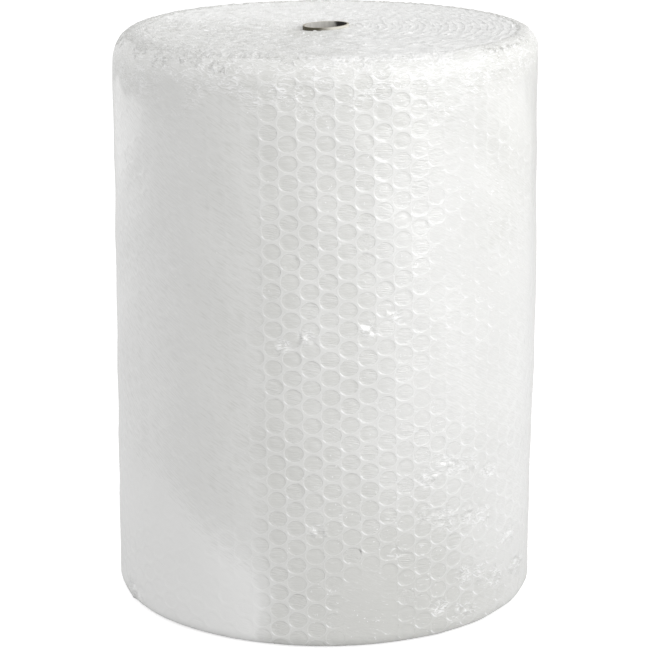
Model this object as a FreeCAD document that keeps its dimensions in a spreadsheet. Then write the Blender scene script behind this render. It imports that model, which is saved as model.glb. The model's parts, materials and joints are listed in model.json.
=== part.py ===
# A roll of air cushion film on its cardboard core, standing on one end.
# Millimetres. The origin is on the roll's axis at the floor, and +Z runs up along the core.
import FreeCAD, Part
import Sketcher

import math
import os

Vector = FreeCAD.Vector
SHOULDER_STEPS = 3  # facets from the side of the roll round to its top
SPIRAL_STEPS = 22  # straight pieces in one turn of film, as seen on the end of the roll
JOIN_GAP = 0.001  # faces whose edges lie within this are joined

# Each driving size: its name, its value, and what it measures.
SIZES = [
    ("film_width", 600, "width of the film, which is the roll's height as it stands"),
    ("roll_diameter", 440, "over the outermost turn"),
    ("core_diameter", 48, "outside of the cardboard tube, which the first turn lies on"),
    ("core_wall", 2.5, "wall of the cardboard tube"),
    ("core_stand_out", 2, "how far the tube stands out above the film's highest edges"),
    ("turn_pitch", 8, "thickness of one turn of film, with its bubbles"),
    ("bubble_pitch_round", 18.7, "from one column of bubbles to the next, round the roll"),
    ("bubble_pitch_up", 19.3, "from one bubble to the next in its column"),
    ("bubble_relief", 1.2, "how far the film dips between bubbles"),
    ("shoulder_radius", 26, "how round the film's upper edges have been pressed, at the front and back"),
    ("shoulder_change", 6, "how much rounder that is on the left, at -X, and how much less on the right"),
    ("foot_radius", 12, "the same at the lower edge"),
    ("turn_relief", 4, "depth of the gap between two turns at the top of the roll"),
]


def make_size_sheet(doc):
    """The driving sizes, one on each row: name, value and meaning."""
    sheet = doc.addObject("Spreadsheet::Sheet", "Sizes")
    for row, (name, value, meaning) in enumerate(SIZES, start=1):
        sheet.set(f"A{row}", name)
        sheet.set(f"B{row}", str(value))
        sheet.set(f"C{row}", meaning)
        sheet.setAlias(f"B{row}", name)
    doc.recompute()
    return sheet


def add_round_line(sketch, name, radius_expression):
    """A circle about the sketch's own origin, with a named radius."""
    start_radius = 10
    sketch_origin = (-1, 1)
    circle = sketch.addGeometry(Part.Circle(Vector(0, 0, 0), Vector(0, 0, 1), start_radius), False)
    centre = (circle, 3)
    sketch.addConstraint(Sketcher.Constraint("Coincident", *centre, *sketch_origin))
    radius = sketch.addConstraint(Sketcher.Constraint("Radius", circle, start_radius))
    sketch.renameConstraint(radius, name)
    sketch.setExpression(f"Constraints.{name}", radius_expression)


def build_core_tube(doc):
    """The wound cardboard tube that the film is rolled on, cut square at both ends."""
    body = doc.addObject("PartDesign::Body", "CoreTube")
    body.Label = "core_tube"
    floor = next(f for f in body.Origin.OriginFeatures if f.Role == "XY_Plane")
    ring = body.newObject("Sketcher::SketchObject", "CoreRing")
    ring.AttachmentSupport = [(floor, "")]
    ring.MapMode = "FlatFace"
    add_round_line(ring, "outside", "Sizes.core_diameter / 2")
    add_round_line(ring, "inside", "Sizes.core_diameter / 2 - Sizes.core_wall")
    wall = body.newObject("PartDesign::Pad", "CoreWall")
    wall.Profile = ring
    wall.setExpression("Length", "Sizes.film_width + Sizes.core_stand_out")
    return body


def round_point(radius, angle, height):
    """A point at a radius and angle about the roll's axis."""
    return Vector(radius * math.cos(angle), radius * math.sin(angle), height)


def shoulder_at(size, angle):
    """How round the upper edge is at an angle about the axis."""
    return size.shoulder_radius - size.shoulder_change * math.cos(angle)


def column_count(size):
    """Columns of bubbles round the roll: an even number, because neighbours are staggered."""
    return 2 * round(math.pi * size.roll_diameter / size.bubble_pitch_round / 2)


def column_angles(size):
    columns = column_count(size)
    return [2 * math.pi * i / columns for i in range(columns)]


def plain_ring(size, radius, height):
    """One point on each column of bubbles, all at one radius."""
    return [round_point(radius, angle, height) for angle in column_angles(size)]


def bubble_rings(size):
    """The side of the roll: each point is a bubble's crown or a dip, by turns up and round."""
    low = size.foot_radius
    rows = round((size.film_width - size.shoulder_radius - low) / (size.bubble_pitch_up / 2))
    crown = size.roll_diameter / 2
    rings = []
    for row in range(rows + 1):
        ring = []
        for column, angle in enumerate(column_angles(size)):
            high = size.film_width - shoulder_at(size, angle)
            height = low + (high - low) * row / rows
            dip = size.bubble_relief * ((row + column) % 2)
            ring.append(round_point(crown - dip, angle, height))
        rings.append(ring)
    return rings


def shoulder_rings(size):
    """The rounded upper edge, then the drop into the gap inside the outermost turn."""
    rings = []
    for step in range(1, SHOULDER_STEPS + 1):
        bend = math.pi / 2 * step / SHOULDER_STEPS
        ring = []
        for angle in column_angles(size):
            radius = shoulder_at(size, angle)
            out = size.roll_diameter / 2 - radius * (1 - math.cos(bend))
            height = size.film_width - radius * (1 - math.sin(bend))
            ring.append(round_point(out, angle, height))
        rings.append(ring)
    rings.append(plain_ring(size, gap_edge_radius(size), gap_height(size)))
    return rings


def gap_height(size):
    """Height of the gaps between turns at the top of the roll."""
    return size.film_width - size.turn_relief


def gap_edge_radius(size):
    """Inner edge of the outermost turn's crown, at the top of the roll."""
    widest_shoulder = size.shoulder_radius + size.shoulder_change
    return size.roll_diameter / 2 - widest_shoulder - size.turn_pitch / 2


def side_facets(columns, ring_count):
    """Triangles between rings: each bubble is a low pyramid whose corners are the dips round it."""
    facets = []
    for ring in range(ring_count - 1):
        for column in range(columns):
            low_here = ring * columns + column
            low_next = ring * columns + (column + 1) % columns
            high_here = low_here + columns
            high_next = low_next + columns
            if (ring + column) % 2:
                facets.append((low_here, low_next, high_here))
                facets.append((low_next, high_next, high_here))
            else:
                facets.append((low_here, low_next, high_next))
                facets.append((low_here, high_next, high_here))
    return facets


class EndSpiral:
    """The turns of film as seen on the end: a ridge that winds outward, with a gap beside it."""

    def __init__(self, size):
        inner_gap = size.core_diameter / 2 + size.turn_pitch / 2
        span = gap_edge_radius(size) - size.turn_pitch / 2 - inner_gap
        self.turns = int(span / size.turn_pitch)
        pitch = span / (self.turns + 1)
        last = SPIRAL_STEPS * self.turns
        self.gaps = []
        for step in range(last + SPIRAL_STEPS + 1):
            radius = inner_gap + pitch * step / SPIRAL_STEPS
            self.gaps.append(round_point(radius, 2 * math.pi * step / SPIRAL_STEPS, gap_height(size)))
        self.ridges = []
        for step in range(last + 1):
            radius = inner_gap + pitch * (step / SPIRAL_STEPS + 0.5)
            at_an_end = step in (0, last)
            height = gap_height(size) if at_an_end else size.film_width
            self.ridges.append(round_point(radius, 2 * math.pi * step / SPIRAL_STEPS, height))

    def points(self):
        return self.gaps + self.ridges

    def facets(self):
        """Both slopes of the ridge, two triangles to each straight piece."""
        first_ridge = len(self.gaps)
        facets = []
        for step in range(len(self.ridges) - 1):
            ridge = first_ridge + step
            for gap, next_gap in ((step, step + 1), (step + SPIRAL_STEPS, step + SPIRAL_STEPS + 1)):
                facets.append((gap, ridge, ridge + 1))
                facets.append((gap, ridge + 1, next_gap))
        return facets

    def inner_edge(self):
        """Round the first gap, and back along the ridge's start."""
        return self.gaps[: SPIRAL_STEPS + 1] + [self.ridges[0]]

    def outer_edge(self):
        """Round the last gap, and back along the ridge's end."""
        return self.gaps[-SPIRAL_STEPS - 1 :] + [self.ridges[-1]]


def closed_wire(points):
    return Part.makePolygon(points + [points[0]])


def flat_ring(outside, inside):
    """The flat face between two closed wires."""
    return Part.makeFace([outside, inside], "Part::FaceMakerBullseye")


def faceted(points, facets):
    """A skin of triangles that share their edges."""
    skin = Part.Shape()
    skin.makeShapeFromMesh((points, facets), JOIN_GAP)
    return skin


def build_film_roll(doc, size):
    """All the turns of film as one solid: bubbles round the side, turns on the top, a bore for the core."""
    rings = [plain_ring(size, size.roll_diameter / 2 - size.foot_radius, 0)]
    rings += bubble_rings(size)
    rings += shoulder_rings(size)
    side_points = [point for ring in rings for point in ring]
    side = faceted(side_points, side_facets(column_count(size), len(rings)))

    spiral = EndSpiral(size)
    turns = faceted(spiral.points(), spiral.facets())

    bore_radius = size.core_diameter / 2
    top = gap_height(size)
    bore = Part.makeCylinder(bore_radius, top)
    bore_wall = next(face for face in bore.Faces if isinstance(face.Surface, Part.Cylinder))
    bore_bottom = Part.Wire(Part.makeCircle(bore_radius))
    bore_top = Part.Wire(Part.makeCircle(bore_radius, Vector(0, 0, top)))
    foot = flat_ring(closed_wire(rings[0]), bore_bottom)
    inner_land = flat_ring(closed_wire(spiral.inner_edge()), bore_top)
    outer_land = flat_ring(closed_wire(rings[-1]), closed_wire(spiral.outer_edge()))

    skin = Part.makeCompound(side.Faces + turns.Faces + [bore_wall, foot, inner_land, outer_land])
    skin.sewShape(JOIN_GAP)
    solid = Part.Solid(skin.Shells[0])
    if solid.Volume < 0:
        solid.reverse()
    feature = doc.addObject("Part::Feature", "FilmRoll")
    feature.Label = "film_roll"
    feature.Shape = solid
    feature.Placement = FreeCAD.Placement()
    return feature


def check_document(doc, pieces):
    """Stops before anything is written if an object failed or a piece isn't one good solid."""
    for item in doc.Objects:
        if "Invalid" in item.State or "Error" in item.State:
            raise RuntimeError(f"{item.Label} failed: {item.State}")
    for piece in pieces:
        shape = piece.Shape
        if shape.isNull() or not shape.isValid() or len(shape.Solids) != 1:
            raise RuntimeError(f"{piece.Label} is not one valid solid")


def main():
    doc = FreeCAD.newDocument("FilmRoll")
    size = make_size_sheet(doc)
    pieces = [build_core_tube(doc), build_film_roll(doc, size)]
    doc.recompute()
    check_document(doc, pieces)
    os.makedirs("parts", exist_ok=True)
    for piece in pieces:
        piece.Shape.exportStep(f"parts/{piece.Label}.step")


main()
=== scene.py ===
import json
import math

import bpy
import numpy as np
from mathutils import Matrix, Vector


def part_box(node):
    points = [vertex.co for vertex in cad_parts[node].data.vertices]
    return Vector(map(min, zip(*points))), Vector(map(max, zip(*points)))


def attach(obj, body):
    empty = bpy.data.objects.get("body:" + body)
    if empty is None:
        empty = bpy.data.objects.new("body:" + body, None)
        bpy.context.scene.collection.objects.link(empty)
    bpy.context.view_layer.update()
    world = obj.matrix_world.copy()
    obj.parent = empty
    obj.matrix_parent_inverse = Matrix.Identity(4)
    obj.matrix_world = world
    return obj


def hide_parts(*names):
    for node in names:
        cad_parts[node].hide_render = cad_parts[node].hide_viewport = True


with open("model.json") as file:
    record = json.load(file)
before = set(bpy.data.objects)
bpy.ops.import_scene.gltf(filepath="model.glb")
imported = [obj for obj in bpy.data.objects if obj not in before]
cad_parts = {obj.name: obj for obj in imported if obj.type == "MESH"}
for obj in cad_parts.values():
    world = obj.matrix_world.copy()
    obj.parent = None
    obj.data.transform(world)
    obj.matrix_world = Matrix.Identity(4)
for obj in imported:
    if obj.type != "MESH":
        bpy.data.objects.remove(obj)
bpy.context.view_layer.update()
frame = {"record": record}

MM = 0.001
TURN = 2 * math.pi
FRONT = -math.pi / 2

# Sizes of the roll and its tube, from the frame.
film_low, film_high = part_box("film_roll")
core_low, core_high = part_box("core_tube")
ROLL_RADIUS = (film_high.x - film_low.x) / 2
FILM_TOP = film_high.z
CORE_RADIUS = (core_high.x - core_low.x) / 2
CORE_TOP = core_high.z
BORE_RADIUS = frame["record"]["mounts"][0]["dims"]["r_mm"] * MM

# The bubbles: staggered columns that lean by about a degree. Their half sizes are round the roll and up it.
COLUMNS = 74
COLUMN_PITCH = TURN * ROLL_RADIUS / COLUMNS
ROW_PITCH = 19.5 * MM
BUBBLE_HALF = np.array([9.7, 8.55]) * MM
ROW_START = -0.7 * MM
COLUMN_LEAN = 0.0197
LEAN_START = 517 * MM

# The roll's rounded edges. The upper edge is rounder on the left, which is at 180 degrees.
FOOT_RADIUS = 12 * MM
SHOULDER_RADIUS = 26 * MM
SHOULDER_CHANGE = 6 * MM

# The flat margin over the upper edge: how far round the edge the bubbles end, and how much the two overlap.
BUBBLES_END = 30 * MM
MARGIN_OVERLAP = 24 * MM

# The roll is out of round: how full each side is, and where it is fullest, over what half height.
LEFT_FULLNESS = 0.8 * MM
LEFT_BULGE = 1.4 * MM
LEFT_BULGE_PLACE = (80 * MM, 420 * MM)
RIGHT_HOLLOW = 0.7 * MM
RIGHT_BULGE = 2.6 * MM
RIGHT_BULGE_PLACE = (320 * MM, 230 * MM)

# The turns on the upper end of the roll.
TURN_PITCH = 8 * MM
TURN_STEPS = 480
TURNS_OUT = ROLL_RADIUS - 9 * MM
TURN_RELIEF = 0.3 * MM
TURN_WANDER = 0.45 * MM

# The camera, worked out from the outline and the bubbles in the photograph.
CAMERA_PLACE = (-0.8 * MM, -2.646, 0.988)
CAMERA_PITCH = 0.2612
CAMERA_LENS = 142.5
SENSOR = 36


def waves(points, wavelength, seed, count=12):
    """Smooth random numbers about zero, from plane waves in random directions."""
    shortest, longest = 0.7, 1.4
    rng = np.random.default_rng(seed)
    total = np.zeros(len(points))
    for _ in range(count):
        direction = rng.normal(size=points.shape[1])
        direction /= np.linalg.norm(direction)
        length = wavelength * rng.uniform(shortest, longest)
        total += np.cos(points @ direction * TURN / length + rng.uniform(0, TURN))
    return total / math.sqrt(count / 2)


def smooth_step(low, high, x):
    t = np.clip((x - low) / (high - low), 0, 1)
    return t * t * (3 - 2 * t)


def window(x, start, full, thin, gone):
    """One between full and thin, and nothing before start and after gone."""
    return smooth_step(start, full, x) * (1 - smooth_step(thin, gone, x))


def hill(x, centre, half_width):
    """One at the centre, falling smoothly to nothing."""
    return 1 - smooth_step(0, half_width, np.abs(x - centre))


def within_half_turn(angle):
    """The same angle, from minus a half turn to a half turn."""
    return np.mod(angle + math.pi, TURN) - math.pi


def from_front(angle):
    """Angle from the front of the roll. Right is positive."""
    return within_half_turn(angle - FRONT)


def round_points(angle, radius, height):
    return np.stack([radius * np.cos(angle), radius * np.sin(angle), height], axis=-1)


def full_circle(steps, rows):
    """The same angles all the way round, once for each row."""
    return np.tile(TURN * np.arange(steps) / steps, rows)


def new_piece(name, points, faces, point_values, corner_values=None):
    """A smooth mesh. The named values are for its material."""
    mesh = bpy.data.meshes.new(name)
    mesh.vertices.add(len(points))
    mesh.vertices.foreach_set("co", np.asarray(points, np.float32).ravel())
    mesh.loops.add(faces.size)
    mesh.loops.foreach_set("vertex_index", faces.ravel().astype(np.int32))
    mesh.polygons.add(len(faces))
    mesh.polygons.foreach_set("loop_start", np.arange(len(faces), dtype=np.int32) * faces.shape[1])
    mesh.update(calc_edges=True)
    mesh.shade_smooth()
    for domain, values in (("POINT", point_values), ("CORNER", corner_values or {})):
        for key, value in values.items():
            value = np.asarray(value, np.float32)
            kind, field = ("FLOAT", "value") if value.ndim == 1 else ("FLOAT_VECTOR", "vector")
            mesh.attributes.new(key, kind, domain).data.foreach_set(field, value.ravel())
    piece = bpy.data.objects.new(name, mesh)
    bpy.context.scene.collection.objects.link(piece)
    return piece


def grid_faces(rows, columns, closed=True):
    """Quads of a grid of points, row by row. A closed grid joins its last column to its first."""
    last = columns if closed else columns - 1
    row, column = np.meshgrid(np.arange(rows - 1), np.arange(last), indexing="ij")
    here = row * columns + column
    right = row * columns + (column + 1) % columns
    return np.stack([here, right, right + columns, here + columns], axis=-1).reshape(-1, 4)


def strip(first, second):
    """Quads between two runs of numbered points."""
    return np.stack([first[:-1], first[1:], second[1:], second[:-1]], axis=1)


# The side of the roll


def shoulder_radius(angle):
    return SHOULDER_RADIUS - SHOULDER_CHANGE * np.cos(angle)


def side_length(angle):
    """The way up the side, from the floor round the foot and to the top of the shoulder."""
    shoulder = shoulder_radius(angle)
    return math.pi / 2 * (FOOT_RADIUS + shoulder) + FILM_TOP - FOOT_RADIUS - shoulder


def bubbles_length(angle):
    """The way up the side to the crease where the bubbles end."""
    return side_length(angle) - math.pi / 2 * shoulder_radius(angle) + BUBBLES_END


def side_bulge(angle, height):
    """How far the roll is out of round: fuller low on the left, and half way up on the right."""
    right = np.cos(angle)
    left_bulge = LEFT_FULLNESS + LEFT_BULGE * hill(height, *LEFT_BULGE_PLACE)
    right_bulge = RIGHT_BULGE * hill(height, *RIGHT_BULGE_PLACE) - RIGHT_HOLLOW
    return smooth_step(0, 1, -right) * left_bulge + smooth_step(0, 1, right) * right_bulge


def side_place(angle, way):
    """Points on the plain surface, a way up the side, and the outward direction there."""
    shoulder = shoulder_radius(angle)
    foot_end = math.pi / 2 * FOOT_RADIUS
    shoulder_start = foot_end + FILM_TOP - FOOT_RADIUS - shoulder
    low = np.clip(way / FOOT_RADIUS, 0, math.pi / 2)
    high = np.clip((way - shoulder_start) / shoulder, 0, None)
    radius = ROLL_RADIUS - FOOT_RADIUS * (1 - np.sin(low)) - shoulder * (1 - np.cos(high))
    height = FOOT_RADIUS * (1 - np.cos(low)) + np.clip(way, foot_end, shoulder_start) - foot_end
    height = height + shoulder * np.sin(high)
    points = round_points(angle, radius + side_bulge(angle, height), height)
    outward = round_points(angle, np.sin(low) * np.cos(high), np.sin(high) - np.cos(low))
    return points, outward


# Places on the edge of a bubble's six-sided cell, in sixths of a column pitch and quarters of a row pitch.
CELL_EDGE = np.array([
    (4, 0), (3, 1), (2, 2), (0, 2), (-2, 2), (-3, 1), (-4, 0), (-3, -1), (-2, -2), (0, -2), (2, -2), (3, -1),
])
EDGE_UNITS = np.array([6, 4])
# Rings of points inside the cell: share of the bubble's radius, and how far the film stands out there.
CELL_RINGS = [(0.55, 0.1 * MM), (0.83, -0.12 * MM), (0.975, 0.16 * MM)]
BUBBLE_CROWN = 0.2 * MM
CELL_DIP = 0.05 * MM
CELL_MARGIN = 0.35 * MM

# How much the bubbles differ. Where there are two values, the second is for the few that have burst.
BUBBLE_SEED = 4
BURST_SHARE = 0.07
BURST_CROWN = -0.35 * MM
SWELL_RANGE = (0.7, 1.15)
SIZE_SPREAD = 0.012
SIZE_LIMITS = (0.97, 1.03)
SHIFT_SPREAD = 0.2 * MM
TILT_SPREAD = 0.02
TILTED_SHARE = 0.9
OUTLINE_SPREAD = (0.012, 0.03)
DENT_SPREAD = (0.02 * MM, 0.1 * MM)


def lattice_centres():
    """The centre of each bubble's cell, in the lattice's units."""
    rows = int(side_length(math.pi) / ROW_PITCH) + 3
    columns = np.arange(COLUMNS) - COLUMNS // 2
    column, row = [grid.ravel() for grid in np.meshgrid(columns, np.arange(-1, rows), indexing="ij")]
    return np.stack([column * EDGE_UNITS[0], (2 * row + column % 2) * EDGE_UNITS[1] // 2], axis=1)


def lattice_edges(centre):
    """The points that cells share, and their numbers in each cell. The pattern's left meets its right."""
    place = centre[:, None, :] + CELL_EDGE[None]
    once_round = np.array([EDGE_UNITS[0] * COLUMNS, -EDGE_UNITS[1]])
    right_end = EDGE_UNITS[0] * (COLUMNS // 2) - EDGE_UNITS[0] // 2
    beyond = place[:, :, 0] > right_end
    before = place[:, :, 0] <= right_end - once_round[0]
    place[beyond] -= once_round
    place[before] += once_round
    edge_points, number = np.unique(place.reshape(-1, 2), axis=0, return_inverse=True)
    return edge_points, number.reshape(len(centre), -1)


def lattice_place(place):
    """Angle and way up the side, from a place in the lattice."""
    across = place[..., 0] / EDGE_UNITS[0]
    way = ROW_START + ROW_PITCH * (place[..., 1] / EDGE_UNITS[1] + across / COLUMNS)
    angle = FRONT + TURN * across / COLUMNS - (way - LEAN_START) * COLUMN_LEAN / ROLL_RADIUS
    return angle, way


def cell_spokes():
    """The direction from a cell's centre to each place on its edge."""
    to_edge = CELL_EDGE * (COLUMN_PITCH, ROW_PITCH) / EDGE_UNITS
    return to_edge / np.linalg.norm(to_edge, axis=1)[:, None]


def cell_triangles():
    """Triangles of a cell, from the numbers of its points: the centre, each ring, and the edge."""
    spokes = len(CELL_EDGE)
    here = np.arange(spokes)
    after = (here + 1) % spokes
    triangles = [np.stack([np.zeros(spokes, int), 1 + here, 1 + after], axis=1)]
    for ring in range(len(CELL_RINGS)):
        low = 1 + ring * spokes + here
        low_next = 1 + ring * spokes + after
        triangles.append(np.stack([low, low + spokes, low_next + spokes], axis=1))
        triangles.append(np.stack([low, low_next + spokes, low_next], axis=1))
    return np.concatenate(triangles)


class Bubbles:
    """All the bubbles, each with its own size, place, fullness and dents."""

    def __init__(self, centre):
        rng = np.random.default_rng(BUBBLE_SEED)
        cells = len(centre)
        self.swell = rng.uniform(*SWELL_RANGE, cells)
        self.burst = rng.uniform(0, 1, cells) < BURST_SHARE
        self.half = BUBBLE_HALF * rng.normal(1, SIZE_SPREAD, (cells, 1)).clip(*SIZE_LIMITS)
        self.shift = rng.normal(0, SHIFT_SPREAD, (cells, 2))
        angle, way = lattice_place(centre)
        self.angle = angle + self.shift[:, 0] / ROLL_RADIUS
        self.way = way + self.shift[:, 1]
        self.from_centre, self.stand = self.cell_points(rng)
        self.number = rng.uniform(0, 1, cells)

    def spread(self, values):
        """Each bubble's own value, out of one for whole bubbles and one for burst ones."""
        whole, burst = values
        return np.where(self.burst, burst, whole)[:, None]

    def cell_points(self, rng):
        """Points in each cell, from its centre round and up the roll, and how far each stands out."""
        cells, spokes = len(self.swell), len(CELL_EDGE)
        places = [np.zeros((cells, 1, 2))]
        stand = [np.where(self.burst, BURST_CROWN, BUBBLE_CROWN * self.swell)[:, None]]
        for share, out in CELL_RINGS:
            uneven = 1 + self.spread(OUTLINE_SPREAD) * rng.normal(0, 1, (cells, spokes))
            places.append(cell_spokes()[None] * share * self.half[:, None, :] * uneven[:, :, None])
            dent = self.spread(DENT_SPREAD) * rng.normal(0, 1, (cells, spokes))
            stand.append((out * self.swell)[:, None] + dent)
        places = np.concatenate(places, axis=1)
        room = ROW_PITCH / 2 - CELL_MARGIN
        up_shift = self.shift[:, 1:]
        places[:, :, 1] = np.clip(places[:, :, 1] + up_shift, -room, room) - up_shift
        tilt = rng.normal(0, TILT_SPREAD, (cells, 1, 2))
        tilted = np.hypot(places[:, :, 0], places[:, :, 1]) < TILTED_SHARE * BUBBLE_HALF[0]
        return places, np.concatenate(stand, axis=1) + (places * tilt).sum(axis=2) * tilted


# Crumpled patches and one smooth patch: degrees from the front, height, half width and half height in mm.
CRUMPLES = [
    (28, 180, 9, 8), (34, 191, 13, 9), (41, 187, 14, 8), (49, 173, 11, 7), (27, 142, 8, 7), (33, 134, 12, 10),
    (41, 131, 10, 8), (47, 126, 12, 10), (60, 91, 14, 8), (40, 67, 10, 9), (46, 66, 9, 8), (53, 52, 12, 10),
    (66, 50, 18, 8), (32, 40, 9, 7), (41, 28, 14, 7), (19, 106, 7, 5), (-2, 133, 8, 6), (-11, 324, 7, 6),
    (-5, 334, 7, 6), (11, 339, 8, 7), (18, 352, 7, 5), (-66, 20, 20, 12), (-125, 380, 16, 8),
    (-140, 150, 20, 10), (120, 90, 18, 9), (128, 84, 14, 8), (168, 440, 16, 8), (158, 432, 12, 7),
    (95, 300, 14, 6),
]
SMOOTH_PATCH = (11, 50, 26, 42)
PATCH_EDGE = (0.8, 1.6)
CRUMPLE_DEPTH = 0.9 * MM
SIDE_UNEVENNESS = 0.35 * MM

# Haze that hides the bubbles, in degrees from the front: where it starts, is full, thins and is gone. On the
# right it starts further round below than above.
LEFT_HAZE = (-13, -22, -52, -66)
FAR_LEFT_HAZE = (-48, -62, -82, -104)
RIGHT_HAZE_BELOW = np.array([[36], [52]])
RIGHT_HAZE_ABOVE = np.array([[14], [34]])
RIGHT_HAZE_END = (82, 104)
BACK_HAZE = (90, 120)
BELOW_TO_ABOVE = (190 * MM, 270 * MM)
LEAST_CLEAR = 0.12


def patch(patches, angle, way):
    """How strongly each place lies in one of the patches."""
    total = np.zeros(len(angle))
    side = from_front(angle)
    for degrees, height, half_width, half_height in patches:
        across = within_half_turn(side - math.radians(degrees)) * ROLL_RADIUS / (half_width * MM)
        up = (way - height * MM) / (half_height * MM)
        total = np.maximum(total, 1 - smooth_step(*PATCH_EDGE, np.hypot(across, up)))
    return total


def clearness(angle, way):
    """How clearly the bubbles show: hardly at all on the left of the front, and less on the far right."""
    side = np.degrees(from_front(angle))
    place = round_points(angle, ROLL_RADIUS, way)
    foot = 1 - smooth_step(60 * MM, 200 * MM, way)
    above = smooth_step(*BELOW_TO_ABOVE, way)
    right_start, right_full = RIGHT_HAZE_BELOW + (RIGHT_HAZE_ABOVE - RIGHT_HAZE_BELOW) * above
    clouds = smooth_step(0.2, 1.2, waves(place * (1, 1, 0.35), 260 * MM, seed=21))
    hazy = np.maximum.reduce([
        (0.95 - 0.2 * foot) * window(side, *LEFT_HAZE),
        0.8 * window(side, *FAR_LEFT_HAZE),
        (0.6 + 0.14 * above) * window(side, right_start, right_full, *RIGHT_HAZE_END),
        0.6 * smooth_step(*BACK_HAZE, np.abs(side)) * clouds,
    ])
    top_crinkles = 0.55 * smooth_step(30 * MM, 8 * MM, bubbles_length(angle) - way)
    uneven = 0.08 * waves(place, 90 * MM, seed=22)
    return np.clip((1 - hazy) * (1 - top_crinkles) + uneven, LEAST_CLEAR, 1)


def near_top(angle, way):
    """One where the film is crinkled by the rounded edge above it, fading out down the side."""
    uneven = 12 * MM * waves(round_points(angle, ROLL_RADIUS, way), 45 * MM, seed=24)
    return smooth_step(75 * MM, 15 * MM, bubbles_length(angle) - way + uneven)


def glare(angle, way):
    """How much the film shines in small strokes, as painted glints and fine relief: most on the right of the
    front, and near the top.
    """
    side = np.degrees(from_front(angle))
    front_right = hill(side, 30, 55)
    back_right = 0.7 * hill(side, 150, 45)
    back_left = 0.6 * hill(side, -115, 35)
    strokes = np.maximum.reduce([front_right, back_right, back_left])
    uneven = 0.12 * waves(round_points(angle, ROLL_RADIUS, way), 60 * MM, seed=23)
    return np.clip(0.12 + 0.75 * strokes + 0.6 * near_top(angle, way) + uneven, 0, 1.4)


def side_points(angle, way, stand, clear, crumple):
    """The film's points: bubbles that are flatter where they show less, crumples and a little unevenness."""
    foot = smooth_step(0, 14 * MM, way)
    ends = foot * smooth_step(0, 8 * MM, bubbles_length(angle) - way)
    points, outward = side_place(angle, way)
    stand = stand * ends * (0.25 + 0.75 * clear)
    stand = stand + crumple * CRUMPLE_DEPTH * waves(points, 7 * MM, seed=12, count=20)
    stand = stand + SIDE_UNEVENNESS * waves(points, 70 * MM, seed=11) * foot
    return points + outward * stand[:, None]


def disc_values(bubbles, cell, angle, way):
    """For corners of triangles: the place in their bubble's disc, in its radii, and the kind of bubble."""
    across = within_half_turn(angle - bubbles.angle[cell]) * ROLL_RADIUS
    up = way - bubbles.way[cell]
    disc = np.stack([across, up], axis=1) / bubbles.half[cell]
    disc = np.column_stack([disc, np.zeros(len(disc))])
    kind = np.stack([bubbles.number, bubbles.burst, bubbles.swell], axis=1)[cell]
    return {"disc": disc, "kind": kind}


def build_side():
    """The outermost turn: a six-sided cell to each bubble, with rings of points inside it."""
    centre = lattice_centres()
    bubbles = Bubbles(centre)
    edge_points, edge_number = lattice_edges(centre)
    edge_angle, edge_way = lattice_place(edge_points)
    cell_angle = bubbles.angle[:, None] + bubbles.from_centre[:, :, 0] / ROLL_RADIUS
    cell_way = bubbles.way[:, None] + bubbles.from_centre[:, :, 1]
    angle = np.concatenate([cell_angle.ravel(), edge_angle])
    top = bubbles_length(angle)
    way = np.clip(np.concatenate([cell_way.ravel(), edge_way]), 0, top)
    stand = np.concatenate([bubbles.stand.ravel(), np.full(len(edge_points), CELL_DIP)])

    inner_number = np.arange(bubbles.stand.size).reshape(bubbles.stand.shape)
    number = np.concatenate([inner_number, bubbles.stand.size + edge_number], axis=1)
    triangles = cell_triangles()
    faces = number[:, triangles].reshape(-1, 3)
    cell = np.repeat(np.arange(len(centre)), len(triangles))
    past_an_end = (way[faces] <= 0).all(axis=1) | (way[faces] >= top[faces]).all(axis=1)
    faces, cell = faces[~past_an_end], cell[~past_an_end]

    crumple = patch(CRUMPLES, angle, way)
    clear = clearness(angle, way) * (1 - patch([SMOOTH_PATCH], angle, way))
    points = side_points(angle, way, stand, clear, crumple)
    flat = np.stack([from_front(angle) * ROLL_RADIUS, way, np.zeros(len(way))], axis=1)
    values = {"place": flat, "clear": clear, "crumple": crumple,
              "glare": glare(angle, way), "near_top": near_top(angle, way)}

    used, renumbered = np.unique(faces, return_inverse=True)
    corner = faces.ravel()
    return new_piece(
        "outer_turn", points[used], renumbered.reshape(faces.shape),
        point_values={key: value[used] for key, value in values.items()},
        corner_values=disc_values(bubbles, np.repeat(cell, 3), angle[corner], way[corner]),
    )


# The crinkled margin over the upper edge. Each kind of fold has its wavelength, depth and seed.
MARGIN_STEPS = 1000
MARGIN_ROWS = 30
MARGIN_FOLDS = (11 * MM, 0.4 * MM, 32)
MARGIN_FINE_FOLDS = (5 * MM, 0.5 * MM, 33)
MARGIN_GATHERS = (11 * MM, 0.2 * MM, 34)
FOLD_WAVES = 20
MARGIN_REACH = 7 * MM
MARGIN_RAGGEDNESS = 2.5 * MM
MARGIN_TUCK = 3.5 * MM
MARGIN_SINK = 1.2 * MM


def fold_height(points, wavelength, depth, seed):
    """Sharp ridges, from waves that are folded at nothing."""
    return depth * (1 - np.abs(waves(points, wavelength, seed, FOLD_WAVES)))


def margin_relief(points, share):
    """How far the margin stands out: sunk under the bubbles at its start, and flatter near its inner edge."""
    wavelength, depth, seed = MARGIN_GATHERS
    gathers = depth * waves(points * (1, 1, 0.15), wavelength, seed, FOLD_WAVES)
    folds = fold_height(points, *MARGIN_FOLDS) + fold_height(points, *MARGIN_FINE_FOLDS) + gathers
    grown = smooth_step(0, 0.6, share + 0.12 * waves(points, 24 * MM, seed=35))
    relief = folds * (0.75 + 0.25 * grown) - MARGIN_SINK * (1 - grown)
    return relief * (1 - 0.85 * smooth_step(0.72, 0.9, share))


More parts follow.
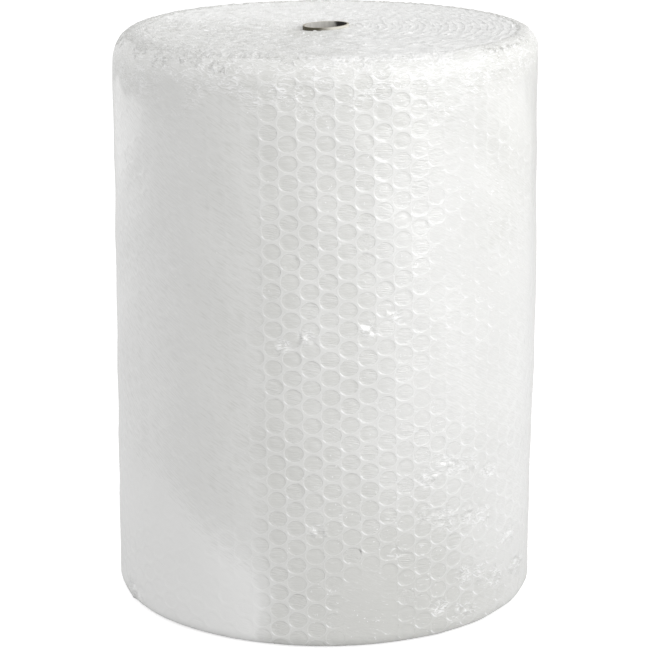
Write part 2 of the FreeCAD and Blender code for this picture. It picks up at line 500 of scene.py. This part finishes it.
def build_shoulder():
    """The flat margin of the film above the bubbles, crinkled over the rounded edge of the roll."""
    angle = full_circle(MARGIN_STEPS, MARGIN_ROWS)
    share = np.repeat(np.linspace(0, 1, MARGIN_ROWS), MARGIN_STEPS)
    ring = round_points(angle, ROLL_RADIUS, np.zeros(angle.size))
    start = bubbles_length(angle) - MARGIN_OVERLAP
    end = side_length(angle) + MARGIN_REACH + MARGIN_RAGGEDNESS * waves(ring, 25 * MM, seed=31)
    way = start + (end - start) * share
    on_edge = np.clip(way, 0, side_length(angle))
    points, outward = side_place(angle, on_edge)
    inward = way - on_edge
    tuck = 0.25 * inward + MARGIN_TUCK * smooth_step(0.9, 1, share)
    points -= round_points(angle, inward, tuck)
    points = points + outward * margin_relief(points, share)[:, None]
    flat = np.stack([from_front(angle) * ROLL_RADIUS, way, share], axis=1)
    return new_piece("shoulder_film", points, grid_faces(MARGIN_ROWS, MARGIN_STEPS), {"place": flat})


# The ends of the roll

# The dish beside the core: its mean depth, how much that changes round the roll, and how far out it goes.
DISH_DEPTH = 0.9 * MM
DISH_CHANGE = 1.9 * MM
DISH_TURN = 0.4
DISH_RADIUS = 70 * MM
EDGE_TUCK = 2.5 * MM
EDGE_TUCK_PLACE = (-4 * MM, 2 * MM)

# Across one turn, in turn pitches: a flat layer, a gap, and a bubble layer that swings out at its bubbles.
LAYER_START = 0.05
LAYER = 0.07
BUBBLE_LAYER_PLACE = 0.30
BUBBLE_LAYER_SWING = 0.42
BUBBLE_LAYER_WAVER = 0.06
INNER_END_DROP = 4 * MM
INNER_END_RISE = 1.2


def end_height(radius, angle):
    """Height of the turns' edges: lower near the core, and under the film that folds over the shoulder."""
    depth = DISH_DEPTH - DISH_CHANGE * np.cos(angle + DISH_TURN)
    dish = depth * (1 - smooth_step(CORE_RADIUS, DISH_RADIUS, radius))
    shoulder = shoulder_radius(angle)
    onto_shoulder = radius - ROLL_RADIUS + shoulder
    drop = shoulder - np.sqrt(shoulder**2 - np.clip(onto_shoulder, 0, None) ** 2)
    return FILM_TOP - dish - drop - EDGE_TUCK * smooth_step(*EDGE_TUCK_PLACE, onto_shoulder)


def turn_profile(angle, wound, seed):
    """Rows of points across one turn: how far out each is, in turn pitches, and its height."""
    ring = round_points(angle, wound, np.zeros(len(angle)))
    bubble = 0.5 + 0.5 * np.cos(TURN * angle * wound / (2 * ROW_PITCH))
    layer = BUBBLE_LAYER_PLACE + BUBBLE_LAYER_SWING * bubble + BUBBLE_LAYER_WAVER * waves(ring, 14 * MM, seed)
    flat_lift, bubble_lift = [
        TURN_RELIEF * np.clip(0.5 + 0.7 * waves(ring, wavelength, seed + extra), 0, 2)
        for wavelength, extra in ((17 * MM, 1), (10 * MM, 2))]
    level = np.zeros(len(angle))
    share = np.stack([level, level + LAYER_START, level + LAYER_START + LAYER,
                      layer - 2 * LAYER, layer - LAYER / 2, layer + LAYER / 2])
    height = np.stack([level - TURN_RELIEF, flat_lift, 0.9 * flat_lift,
                       level - 0.8 * TURN_RELIEF, bubble_lift, 0.9 * bubble_lift])
    grown = smooth_step(0, INNER_END_RISE, angle)
    return share, (height + TURN_RELIEF) * grown - 2 * TURN_RELIEF


def wandered(points, seed):
    """The same points, each moved a little, with its neighbours."""
    sideways = [waves(points, 16 * MM, seed), waves(points, 16 * MM, seed + 1)]
    upward = 0.7 * waves(points, 9 * MM, seed + 2)
    return points + TURN_WANDER * np.stack([*sideways, upward], axis=1)


def build_turns():
    """The film's edges on the roll's upper end: flat and bubble film, wound side by side in a spiral."""
    seed = 50
    first = CORE_RADIUS - 0.6 * MM
    turns = int((TURNS_OUT - first) / TURN_PITCH)
    step = np.arange(turns * TURN_STEPS + 1)
    angle = step * TURN / TURN_STEPS
    wound = first + TURN_PITCH * step / TURN_STEPS
    share, height = turn_profile(angle, wound, seed)
    radius = wound + share * TURN_PITCH
    points = round_points(angle, radius, end_height(radius, angle) + height).reshape(-1, 3)
    points = wandered(points, seed + 3)

    rows, columns = share.shape
    outer_row = (rows - 1) * columns
    run = np.arange(columns - TURN_STEPS)
    between_turns = strip(outer_row + run, TURN_STEPS + run)

    # A collar joins the first turn to the core, and the web's inner end is closed down to a lower edge.
    once = np.arange(TURN_STEPS + 1)
    collar_radius = np.full(len(once), CORE_RADIUS - 0.5 * MM)
    collar_height = end_height(collar_radius, angle[once]) - 2 * TURN_RELIEF
    collar = round_points(angle[once], collar_radius, collar_height)
    inside = strip(len(points) + once, once)
    end_edge = np.arange(rows) * columns
    low_edge = len(points) + len(once) + np.arange(rows)
    inner_end = strip(end_edge, low_edge)
    points = np.concatenate([points, collar, points[end_edge] - (0, 0, INNER_END_DROP)])

    faces = np.concatenate([grid_faces(rows, columns, closed=False), between_turns, inside, inner_end])
    source = np.concatenate([np.tile(step, rows), once, np.zeros(rows, int)])
    value = np.stack([angle[source] * wound[source], wound[source], points[:, 2]], axis=1)
    return new_piece("upper_turns", points, faces, {"place": value})


def build_floor_side():
    """The lower end of the roll, pressed flat on the floor."""
    steps = 240
    rows = 110
    relief = 1.0 * MM
    overlap = 1.0 * MM
    angle = full_circle(steps, rows)
    radius = np.repeat(np.linspace(CORE_RADIUS, ROLL_RADIUS - FOOT_RADIUS + overlap, rows), steps)
    turn = (radius - CORE_RADIUS) / TURN_PITCH - angle / TURN
    height = relief * (0.5 - 0.5 * np.cos(TURN * turn))
    points = round_points(angle, radius, height)
    value = np.stack([angle * radius, radius, height], axis=1)
    return new_piece("lower_turns", points, grid_faces(rows, steps)[:, ::-1], {"place": value})


# The cardboard tube

CORE_EDGE = 0.5 * MM
CORE_EDGE_STEPS = 4
CORE_WALL_ROWS = 25
CORE_STEPS = 128
RIM_SLOPE = 1.05 * MM
RIM_SLOPE_START = CORE_TOP - 60 * MM
CORE_DENTS = 0.12 * MM


def core_section():
    """Radius and height round the tube's section: outside, softened rim, inside and foot."""
    bend = np.linspace(0, math.pi / 2, CORE_EDGE_STEPS + 1)
    inset = CORE_EDGE * (1 - np.cos(bend))
    corner_height = CORE_TOP - CORE_EDGE * (1 - np.sin(bend))
    wall = np.linspace(CORE_EDGE, CORE_TOP - CORE_EDGE, CORE_WALL_ROWS)
    foot = [BORE_RADIUS + CORE_EDGE, CORE_RADIUS - CORE_EDGE]
    radius = np.concatenate([
        np.full(len(wall), CORE_RADIUS), CORE_RADIUS - inset[1:], [(CORE_RADIUS + BORE_RADIUS) / 2],
        BORE_RADIUS + inset[::-1], np.full(len(wall) - 1, BORE_RADIUS), foot])
    height = np.concatenate([
        wall, corner_height[1:], [CORE_TOP], corner_height[::-1], wall[::-1][1:], [0, 0]])
    return radius, height


def build_core():
    """The cardboard tube, with softened edges and a rim that's cut a little out of square."""
    section_radius, section_height = core_section()
    rows = len(section_radius)
    angle = full_circle(CORE_STEPS, rows)
    radius = np.repeat(section_radius, CORE_STEPS)
    height = np.repeat(section_height, CORE_STEPS)
    height = height + smooth_step(RIM_SLOPE_START, CORE_TOP, height) * RIM_SLOPE * np.cos(angle)
    dents = CORE_DENTS * waves(round_points(angle, radius, height), 30 * MM, seed=41)
    points = round_points(angle, radius + dents, height)
    wall = (radius - BORE_RADIUS) / (CORE_RADIUS - BORE_RADIUS)
    faces = grid_faces(rows + 1, CORE_STEPS) % len(points)
    return new_piece("core", points, faces, {"wound": np.stack([angle, height, wall], axis=1)})


# Materials

COAT_ROUGHNESS_SHARE = 0.8
COAT_IOR = 1.6


class Nodes:
    """Nodes that are being put together. Each method adds one step and returns its result."""

    def __init__(self, tree):
        self.tree = tree

    def put(self, socket, value):
        if isinstance(value, bpy.types.NodeSocket):
            self.tree.links.new(value, socket)
        else:
            socket.default_value = value

    def step(self, kind, *values):
        """A new node of a kind, with values for its first inputs."""
        node = self.tree.nodes.new("ShaderNode" + kind)
        for socket, value in zip(node.inputs, values):
            self.put(socket, value)
        return node

    def value(self, name, part="Vector"):
        node = self.step("Attribute")
        node.attribute_name = name
        return node.outputs[part]

    def place(self):
        return self.step("TexCoord").outputs["Object"]

    def split(self, vector):
        return self.step("SeparateXYZ", vector).outputs

    def join(self, *parts):
        return self.step("CombineXYZ", *parts).outputs[0]

    def sum(self, operation, *values):
        node = self.step("Math", *values)
        node.operation = operation
        return node.outputs[0]

    def times(self, *values):
        total = values[0]
        for value in values[1:]:
            total = self.sum("MULTIPLY", total, value)
        return total

    def plus(self, *values):
        total = values[0]
        for value in values[1:]:
            total = self.sum("ADD", total, value)
        return total

    def length(self, x, y):
        return self.sum("SQRT", self.plus(self.times(x, x), self.times(y, y)))

    def along(self, x, y, direction):
        """How far a place lies in a direction, or how many features of a noise away it is."""
        return self.plus(self.times(x, direction[0]), self.times(y, direction[1]))

    def noise(self, vector, scale=1, detail=2, twist=0):
        node = self.step("TexNoise", vector)
        node.inputs["Scale"].default_value = scale
        node.inputs["Detail"].default_value = detail
        node.inputs["Distortion"].default_value = twist
        return node.outputs["Fac"]

    def grain(self, x, y, features, detail=2, twist=0):
        """A noise with so many features to a metre in x and in y."""
        vector = self.join(self.times(x, features[0]), self.times(y, features[1]), 0)
        return self.noise(vector, detail=detail, twist=twist)

    def vary(self, noise, *amounts):
        """A noise, moved to lie about nothing, times the amounts."""
        return self.times(self.plus(noise, -0.5), *amounts)

    def from_middle(self, noise):
        """How far a noise is from its middle value, which it takes along fine winding lines."""
        return self.sum("ABSOLUTE", self.plus(noise, -0.5))

    def rise(self, value, low, high, start=0, end=1):
        """A smooth rise from start to end while the value goes from low to high."""
        node = self.step("MapRange", value, low, high, start, end)
        node.interpolation_type = "SMOOTHSTEP"
        return node.outputs[0]

    def fall(self, value, low, high):
        return self.rise(value, low, high, 1, 0)

    def window(self, value, start, full, thin, gone):
        """One between full and thin, and nothing before start and after gone."""
        return self.times(self.rise(value, start, full), self.fall(value, thin, gone))

    def slope(self, value, low, high, start=0, end=1):
        """A straight rise from start to end."""
        return self.step("MapRange", value, low, high, start, end).outputs[0]

    def blend(self, share, first, second):
        node = self.step("Mix", share)
        node.data_type = "RGBA"
        for socket, colour in ((node.inputs[6], first), (node.inputs[7], second)):
            self.put(socket, (*colour, 1) if isinstance(colour, tuple) else colour)
        return node.outputs[2]


class Look(Nodes):
    """A material, as the nodes that feed its shader."""

    def __init__(self, name, rough, shine, coat=0):
        self.material = bpy.data.materials.new(name)
        self.material.use_nodes = True
        super().__init__(self.material.node_tree)
        self.shader = self.tree.nodes["Principled BSDF"]
        self.shade("Roughness", rough)
        self.shade("Specular IOR Level", shine)
        self.shade("Coat Weight", coat)
        self.shade("Coat Roughness", rough * COAT_ROUGHNESS_SHARE)
        self.shade("Coat IOR", COAT_IOR)

    def shade(self, setting, value):
        self.put(self.shader.inputs[setting], value)

    def relief(self, height):
        """Fine relief, from a height in millimetres."""
        node = self.step("Bump")
        node.inputs["Distance"].default_value = 1
        self.put(node.inputs["Height"], self.times(height, MM))
        self.shade("Normal", node.outputs[0])


# The film's colours. A tone of nothing is deep, MILKY_TONE is milky and PALE_TONE is pale. Below nothing the
# crinkled margin goes down to a painted shade, and the whitest colour is for painted glints.
FILM_PAINTED_SHADE = (0.58, 0.58, 0.56)
FILM_DEEP = (0.70, 0.70, 0.675)
FILM_MILKY = (0.80, 0.80, 0.785)
FILM_PALE = (0.90, 0.90, 0.89)
FILM_GLINT = (0.98, 0.98, 0.98)
PAINTED_SHADE_TONE = -0.7
MILKY_TONE = 0.55
PALE_TONE = 1.1


def film_colour(look, tone, white, deepest=FILM_DEEP):
    """The film's colour: deep, milky or pale by its tone, and then as white as its glints are."""
    shade = look.blend(look.rise(tone, 0, MILKY_TONE), deepest, FILM_MILKY)
    shade = look.blend(look.rise(tone, MILKY_TONE, PALE_TONE), shade, FILM_PALE)
    look.shade("Base Color", look.blend(look.rise(white, 0, 1), shade, FILM_GLINT))


def ripples(look, across, up):
    """Level ripples in the film, over the side and the upper edge."""
    return look.grain(across, up, (80, 300), detail=3, twist=0.6)


# Painted light and shade on the front of the roll, as broad tones: how much each adds, where it starts and
# where it ends across the front, and the same up the side. Each start and end is a pair, in metres, for a
# smooth change.
FROM_FLOOR = (-2, -1)
TO_TOP = (2, 3)
LEFT_END = (-0.42, -0.3)
RIGHT_END = (0.27, 0.38)
BROAD_PAINTED_LIGHT_AND_SHADE = [
    (-0.38, (-0.09, 0.02), (0.07, 0.18), FROM_FLOOR, (0.02, 0.26)),
    (-0.2, (0, 0.05), (0.18, 0.26), FROM_FLOOR, (0.02, 0.12)),
    (0.3, (0.07, 0.22), RIGHT_END, (0.03, 0.12), (0.26, 0.46)),
    (0.16, LEFT_END, (-0.22, -0.10), FROM_FLOOR, TO_TOP),
    (0.29, LEFT_END, (-0.22, -0.10), FROM_FLOOR, (0.52, 0.57)),
    (-0.12, (-0.16, -0.09), (-0.05, 0), (0.1, 0.2), TO_TOP),
    (0.3, (0.03, 0.08), (0.12, 0.2), (0.12, 0.2), (0.45, 0.55)),
    (-0.3, (0.14, 0.24), RIGHT_END, (0.36, 0.54), TO_TOP),
    (0.15, (0.16, 0.26), RIGHT_END, (0.04, 0.1), (0.34, 0.42)),
]

# Directions round the roll and up it, from a bubble's centre toward the small glints at its lower left.
CRESCENT_SIDE = (-0.64, -0.77)
JOINT_SIDE = (-0.76, -0.65)
BESIDE_JOINT = (0.65, -0.76)
JOINT_OUT = 1.03


class BubbleFilm(Look):
    """Clear film over many turns: greyer discs with fine wrinkles, in thin pale rings, with small glints."""

    def __init__(self):
        rough, coat = 0.28, 0.7
        super().__init__("bubble_film_look", rough=rough, shine=0.8, coat=coat)
        self.x, self.y, _ = self.split(self.value("disc"))
        self.number, self.burst, _ = self.split(self.value("kind"))
        self.across, self.up, _ = self.split(self.value("place"))
        self.clear = self.value("clear", "Fac")
        self.crumple = self.value("crumple", "Fac")
        self.glare = self.value("glare", "Fac")
        self.near_top = self.value("near_top", "Fac")
        self.hazy = self.sum("SUBTRACT", 1, self.clear)
        self.whole = self.times(self.fall(self.crumple, 0.1, 0.7), self.clear)
        self.wrinkled = self.plus(self.times(self.crumple, 1.1), self.times(self.near_top, 0.8))
        self.shade("Roughness", self.rise(self.near_top, 0.1, 0.7, rough, 0.5))
        self.shade("Coat Weight", self.rise(self.near_top, 0.1, 0.7, coat, 0.05))
        self.draw_bubble()
        self.draw_wrinkles()
        self.draw_glints()
        film_colour(self, self.tone(), self.white())
        self.relief(self.height())

    def draw_bubble(self):
        """The disc, its ring, and a second ring that's seen through the film from the turn below."""
        x, y = self.x, self.y
        uneven = self.join(self.times(x, 1.2), self.times(y, 1.2), self.times(self.number, 50))
        self.wobble = self.noise(uneven)
        unevenness = self.plus(0.08, self.times(self.burst, 0.25))
        self.out = self.plus(self.length(x, y), self.vary(self.wobble, unevenness))
        self.disc = self.fall(self.out, 0.93, 0.99)
        self.ring = self.window(self.out, 0.945, 0.99, 1.01, 1.07)
        below = self.window(self.length(self.plus(x, -0.13), self.plus(y, -0.15)), 0.97, 1.01, 1.03, 1.09)
        self.second_ring = self.times(below, self.rise(self.out, 0.98, 1.03))

    def draw_wrinkles(self):
        """Fine lines on each disc, slanting scratches, winding veins in crumples, and broader clouds."""
        x, y, number = self.x, self.y, self.number
        tilt = self.times(x, self.plus(number, -0.5), 3)
        bend = self.times(x, x, self.plus(number, -0.3))
        level = self.plus(self.times(y, 8), tilt, bend)
        self.lines = self.noise(self.join(self.times(x, 0.7), level, self.times(number, 90)), detail=3)
        crosswise = self.join(self.along(x, y, (3, 6)), self.along(x, y, (1, -0.5)), self.times(number, 40))
        self.cross_lines = self.noise(crosswise, detail=3)
        self.scratches = self.slanting_noise((70, -30), (330, 620))
        self.veins = self.vein_lines(0)
        self.painted_fold_shade = self.vein_lines(0.28)
        self.folds = self.from_middle(
            self.noise(self.join(x, self.times(y, 2.2), self.times(number, 70)), scale=2.2, detail=1))
        self.cloud = self.noise(self.place(), scale=14, detail=3)
        self.mottle = self.noise(self.place(), scale=90, detail=3)

    def slanting_noise(self, first, second):
        """A noise with two axes. Each is given as its features to a metre, round the roll and up it."""
        across, up = self.across, self.up
        return self.noise(self.join(self.along(across, up, first), self.along(across, up, second), 0))

    def vein_lines(self, shift):
        """Winding lines, shifted up by a share of the distance between them."""
        up = self.plus(self.times(self.up, 230), shift)
        return self.from_middle(self.noise(self.join(self.times(self.across, 85), up, 0), twist=0.9))

    def draw_glints(self):
        """A crescent at a bubble's lower left, a spot where two bubbles meet, short strokes and specks."""
        facing = self.along(self.x, self.y, CRESCENT_SIDE)
        crescent = self.times(self.rise(facing, 0.93, 1.03), self.window(self.out, 0.97, 1.02, 1.08, 1.17))
        self.crescent = self.times(crescent, self.rise(self.number, 0.1, 0.9, 0.35, 1))
        toward = self.sum("ABSOLUTE", self.plus(self.along(self.x, self.y, JOINT_SIDE), -JOINT_OUT))
        aside = self.sum("ABSOLUTE", self.along(self.x, self.y, BESIDE_JOINT))
        joint = self.times(self.fall(toward, 0.02, 0.10), self.fall(aside, 0.08, 0.34))
        self.joint = self.times(joint, self.rise(self.number, 0.2, 0.6))
        self.strokes = self.slanting_noise((105, 0), (60, 430))
        self.specks = self.noise(self.place(), scale=330, detail=1)

    def white(self):
        """How white the glints make the film."""
        crescents = self.times(self.crescent, self.glare, self.rise(self.clear, 0, 0.5, 0.45, 1))
        joints = self.times(self.joint, self.plus(self.glare, 0.4), self.rise(self.clear, 0.2, 0.6))
        strokes = self.times(self.rise(self.strokes, 0.63, 0.70), self.glare, 0.7)
        specks = self.times(self.rise(self.specks, 0.73, 0.77), self.plus(self.glare, 0.15))
        in_places = self.rise(self.mottle, 0.4, 0.55, 0.5, 1)
        veins = self.times(self.fall(self.veins, 0, 0.06), in_places, self.wrinkled)
        folds = self.times(self.fall(self.folds, 0, 0.015), self.burst, self.disc, self.glare, 0.8)
        return self.plus(crescents, joints, strokes, specks, veins, folds)

    def tone(self):
        """How pale the film is, without its glints, and with painted light and shade on the front."""
        base = 0.42
        disc = self.times(self.disc, self.whole, -0.17)
        ring = self.times(self.ring, self.whole, self.plus(0.06, self.times(self.wobble, 0.4)))
        second_ring = self.times(self.second_ring, self.whole, 0.2)
        lines = self.vary(self.lines, self.disc, self.whole, 0.9)
        cross_lines = self.vary(self.cross_lines, self.disc, self.whole, 0.5)
        own = self.vary(self.number, 0.06, self.whole)
        far_left = self.times(self.fall(self.across, -0.28, -0.18), self.rise(self.across, *LEFT_END))
        scratches = self.vary(self.scratches, self.plus(0.12, self.times(self.hazy, 1.3), far_left))
        dark_scratches = self.times(self.rise(self.scratches, 0.60, 0.68), self.hazy, -0.3)
        cloud = self.vary(self.cloud, 0.3)
        mottle = self.vary(self.mottle, self.plus(0.18, self.times(self.wrinkled, 0.8)))
        # Painted shade along the winding folds, beside their painted glints.
        painted_fold_shade = self.times(self.fall(self.painted_fold_shade, 0, 0.05), self.wrinkled, -0.3)
        bubble = self.plus(disc, ring, second_ring, lines, cross_lines, own)
        film = self.plus(scratches, dark_scratches, cloud, mottle, painted_fold_shade)
        return self.plus(base, bubble, film, self.painted_light_low_left(), *self.painted_light_and_shade())

    def painted_light_low_left(self):
        """Painted light: the haze on the left grows paler toward the floor."""
        height = self.along(self.across, self.up, (0.3, 1))
        left = self.window(self.across, *LEFT_END, -0.06, -0.01)
        return self.times(self.rise(height, -0.03, 0.14, 1.7, 0.1), self.hazy, left)

    # Painted light and shade, as broad tones over the front.
    def painted_light_and_shade(self):
        tones = []
        for amount, start, end, low, high in BROAD_PAINTED_LIGHT_AND_SHADE:
            across = self.window(self.across, *start, *end)
            tones.append(self.times(across, self.window(self.up, *low, *high), amount))
        return tones

    def height(self):
        """Fine relief in millimetres."""
        lines = self.vary(self.lines, self.rise(self.number, 0.45, 0.9, 0.2, 0.7), self.disc, self.whole)
        rim = self.times(self.slope(self.out, 0.92, 1.0), self.whole, 0.3)
        scratches = self.times(self.scratches, 0.1)
        mottle = self.times(self.mottle, 0.2)
        strokes = self.plus(self.strokes, self.times(ripples(self, self.across, self.up), 2))
        strokes = self.times(strokes, self.rise(self.glare, 0.6, 1.4, 0.12, 0.4), self.glare)
        veins = self.times(self.veins, self.wrinkled, -1.2)
        folds = self.times(self.folds, self.burst, self.disc, self.whole, -0.4)
        return self.plus(lines, rim, scratches, mottle, strokes, veins, folds)


class CrinkledFilm(Look):
    """The film's crinkled margin: milky, with painted light and shade, and a mass of fine creases bright with
    painted glints.
    """

    def __init__(self):
        super().__init__("crinkled_film_look", rough=0.55, shine=0.3)
        self.across, self.up, self.share = self.split(self.value("place"))
        place = self.place()
        self.fine = self.noise(place, scale=420, detail=3, twist=0.5)
        self.dashes = self.grain(self.across, self.up, (110, 420))
        self.creases = self.from_middle(self.noise(place, scale=150, detail=4, twist=0.8))
        self.lines = self.fall(self.creases, 0, 0.03)
        tone = self.tone()
        # Below a tone of nothing, the margin turns to a deeper painted shade.
        deepest = self.blend(self.rise(tone, PAINTED_SHADE_TONE, 0), FILM_PAINTED_SHADE, FILM_DEEP)
        film_colour(self, tone, self.white(), deepest)
        self.relief(self.height())

    def tone(self):
        """Painted light and shade: paler where the light falls at the front and on the left, and darker low
        on the right.
        """
        base = 0.15
        front = self.times(self.window(self.across, -0.06, 0.04, 0.11, 0.18), 1.2)
        right_amount = self.rise(self.share, 0.35, 0.6, -1.4, 0.2)
        right = self.times(self.window(self.across, 0.13, 0.22, *RIGHT_END), right_amount)
        left_amount = self.rise(self.share, 0.4, 0.75, 0.3, 0.4)
        left = self.times(self.window(self.across, *LEFT_END, -0.12, 0), left_amount)
        fine = self.plus(self.vary(self.fine, 1.6), self.vary(self.dashes, 1.2))
        return self.plus(base, self.times(self.lines, 0.15), fine, front, right, left)

    # Painted glints along the dashes, the fine crinkles and the crease lines.
    def white(self):
        dashes = self.times(self.rise(self.dashes, 0.60, 0.68), 0.7)
        return self.plus(dashes, self.rise(self.fine, 0.64, 0.70), self.times(self.lines, 0.6))

    def height(self):
        """Fine relief in millimetres."""
        creases = self.plus(self.times(self.creases, -2.2), self.times(self.fine, 0.7))
        level = self.plus(self.times(self.dashes, 0.9), self.times(ripples(self, self.across, self.up), 1.8))
        return self.plus(creases, level)


def film_edge_look():
    """The cut edges of the film on the roll's ends: milky grey, with painted glints as bright specks and
    short strokes, and a painted shadow to the left of the core.
    """
    look = Look("film_edge_look", rough=0.62, shine=0.4)
    along, out, _ = look.split(look.value("place"))
    place = look.place()
    x, y, _ = look.split(place)
    strokes = look.grain(along, out, (230, 430), detail=3, twist=0.5)
    specks = look.noise(place, scale=520)
    broad = look.noise(place, scale=55, detail=3)
    base = 0.50
    # A painted shadow on the film to the left of the core.
    from_core_left = look.length(look.plus(x, 0.022), look.times(look.plus(y, 0.035), 0.55))
    painted_core_shadow = look.times(look.fall(from_core_left, 0.005, 0.026), -1.3)
    right = look.times(look.rise(x, -0.02, 0.08), 0.75)
    back_left = look.times(look.fall(x, -0.02, 0.08), look.rise(y, 0.0, 0.09), 0.5)
    uneven = look.plus(look.vary(broad, 2.0), look.vary(specks, 1.2), look.vary(strokes, 1.0))
    tone = look.plus(base, uneven, painted_core_shadow, right, back_left)
    # Painted glints: bright strokes and specks.
    white = look.plus(look.rise(strokes, 0.585, 0.655), look.rise(specks, 0.605, 0.665))
    film_colour(look, tone, white)
    look.relief(look.plus(look.times(strokes, 0.3), look.times(specks, 0.3)))
    return look


# The board's colours, each with a darker and a lighter fibre, and the seam that winds up it. The outside has
# a painted shaded side and a painted lit side, and the bore has a painted shadow.
BOARD_PAINTED_SHADE = ((0.05, 0.045, 0.03), (0.12, 0.11, 0.075))
BOARD_PAINTED_LIGHT = ((0.50, 0.48, 0.42), (0.78, 0.76, 0.70))
BOARD_PALE = ((0.42, 0.41, 0.38), (0.74, 0.72, 0.68))
BOARD_RIM = ((0.30, 0.27, 0.22), (0.62, 0.58, 0.49))
BOARD_PAINTED_SHADOW = (0.03, 0.027, 0.024)
SEAM_COLOUR = (0.16, 0.14, 0.11)
SEAM_PITCH = 0.11
SEAM_WIDTH = 0.012


def board_fibres(look, x, y, z, level, upright):
    """Fibres in the board, with so many to a metre round the tube and up it."""
    return look.noise(look.join(look.times(x, level), look.times(y, level), look.times(z, upright)), detail=4)


def board_look():
    """Wound grey board: brown outside, with painted shade on the left fading to painted light on the right,
    pale and streaky inside, and a painted shadow on the right of the bore.
    """
    look = Look("core_board_look", rough=0.75, shine=0.25)
    angle, height, wall = look.split(look.value("wound"))
    x, y, z = look.split(look.place())
    fibres = board_fibres(look, x, y, z, 90, 420)
    streaks = board_fibres(look, x, y, z, 420, 90)
    plies = look.noise(look.join(look.times(wall, 11), look.times(angle, 0.5), 0))
    turns = look.sum("FRACT", look.plus(look.times(height, 1 / SEAM_PITCH), look.times(angle, 1 / TURN)))
    off_seam = look.window(turns, 0, SEAM_WIDTH, 1 - SEAM_WIDTH, 1)
    # Painted shade on the outside's left, fading to painted light on its right.
    painted_light_share = look.rise(look.plus(x, look.vary(fibres, 0.01)), -0.009, 0.008)
    outer = look.blend(painted_light_share, look.blend(fibres, *BOARD_PAINTED_SHADE), look.blend(fibres, *BOARD_PAINTED_LIGHT))
    # A painted shadow on the right of the bore.
    in_painted_shadow = look.rise(look.plus(x, look.vary(streaks, 0.012)), 0.006, 0.013)
    inner = look.blend(in_painted_shadow, look.blend(streaks, *BOARD_PALE), BOARD_PAINTED_SHADOW)
    body = look.blend(look.rise(wall, 0.4, 0.6), inner, outer)
    on_rim = look.window(wall, 0.02, 0.2, 0.8, 0.98)
    body = look.blend(on_rim, body, look.blend(plies, *BOARD_RIM))
    look.shade("Base Color", look.blend(off_seam, SEAM_COLOUR, body))
    look.relief(look.plus(look.times(fibres, 0.15), look.times(streaks, 0.1), look.times(off_seam, 0.25)))
    return look


# The surroundings

FLOOR_SHADE = (0.7, 0.7, 0.7, 1)
FLOOR_LIFT = 0.65
FLOOR_IN_GLOSS = 0.25
SURROUND_SEEN = 1.0
SURROUND_IN_GLOSS = 1
SURROUND_LIT = 0.78
WHITE = (1, 1, 1, 1)


def seen_directly(nodes, in_gloss):
    """One as the camera sees it, and a share of that in clear reflections and through clear things."""
    path = nodes.step("LightPath").outputs
    clear_view = nodes.sum("MAXIMUM", path["Is Glossy Ray"], path["Is Transmission Ray"])
    return nodes.sum("MAXIMUM", path["Is Camera Ray"], nodes.times(clear_view, in_gloss))


def floor_look():
    """A pale floor that the camera sees as white wherever the roll's shadow doesn't reach."""
    look = Look("floor_paint", rough=0.7, shine=0)
    look.shade("Base Color", FLOOR_SHADE)
    look.shade("Emission Color", WHITE)
    look.shade("Emission Strength", look.times(seen_directly(look, FLOOR_IN_GLOSS), FLOOR_LIFT))
    return look.material


def build_floor():
    bpy.ops.mesh.primitive_plane_add(size=60)
    floor = bpy.context.object
    floor.name = "floor"
    floor.data.materials.append(floor_look())


def build_surround():
    """White as the camera and clear reflections see it, and a softer white as it lights the roll."""
    world = bpy.data.worlds.new("surround")
    world.use_nodes = True
    nodes = Nodes(world.node_tree)
    strength = nodes.slope(seen_directly(nodes, SURROUND_IN_GLOSS), 0, 1, SURROUND_LIT, SURROUND_SEEN)
    back = nodes.tree.nodes["Background"].inputs
    nodes.put(back["Color"], WHITE)
    nodes.put(back["Strength"], strength)
    bpy.context.scene.world = world


def add_lamp(name, place, target, size, power, spread=math.pi):
    data = bpy.data.lights.new(name, "AREA")
    data.size = size
    data.energy = power
    data.spread = spread
    lamp = bpy.data.objects.new(name, data)
    lamp.location = place
    aim = np.array(target) - np.array(place)
    pitch = math.acos(-aim[2] / np.linalg.norm(aim))
    lamp.rotation_euler = (pitch, 0, math.atan2(aim[1], aim[0]) - math.pi / 2)
    bpy.context.scene.collection.objects.link(lamp)


def build_lamps():
    low_middle = (0, 0, 0.2)
    upper_right = (0.1, -0.1, 0.75)
    add_lamp("key_lamp", (1.3, -1.25, 1.15), upper_right, size=1.3, power=3.1, spread=1.0)
    add_lamp("left_lamp", (-1.7, 1.5, 0.6), low_middle, size=1.8, power=3.5)
    add_lamp("right_lamp", (2.1, 0.9, 0.5), low_middle, size=1.8, power=6)


def build_camera():
    data = bpy.data.cameras.new("camera")
    data.sensor_width = SENSOR
    data.lens = CAMERA_LENS
    camera = bpy.data.objects.new("camera", data)
    camera.location = CAMERA_PLACE
    camera.rotation_euler = (math.pi / 2 - CAMERA_PITCH, 0, 0)
    bpy.context.scene.collection.objects.link(camera)
    bpy.context.scene.camera = camera


def main():
    edge = film_edge_look()
    pieces = [
        (build_side(), "film_roll", BubbleFilm()),
        (build_shoulder(), "film_roll", CrinkledFilm()),
        (build_turns(), "film_roll", edge),
        (build_floor_side(), "film_roll", edge),
        (build_core(), "core_tube", board_look()),
    ]
    for piece, node, look in pieces:
        piece.data.materials.append(look.material)
        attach(piece, "root")
        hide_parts(node)
    build_floor()
    build_surround()
    build_lamps()
    build_camera()
    bpy.context.scene.view_settings.view_transform = "Standard"


main()
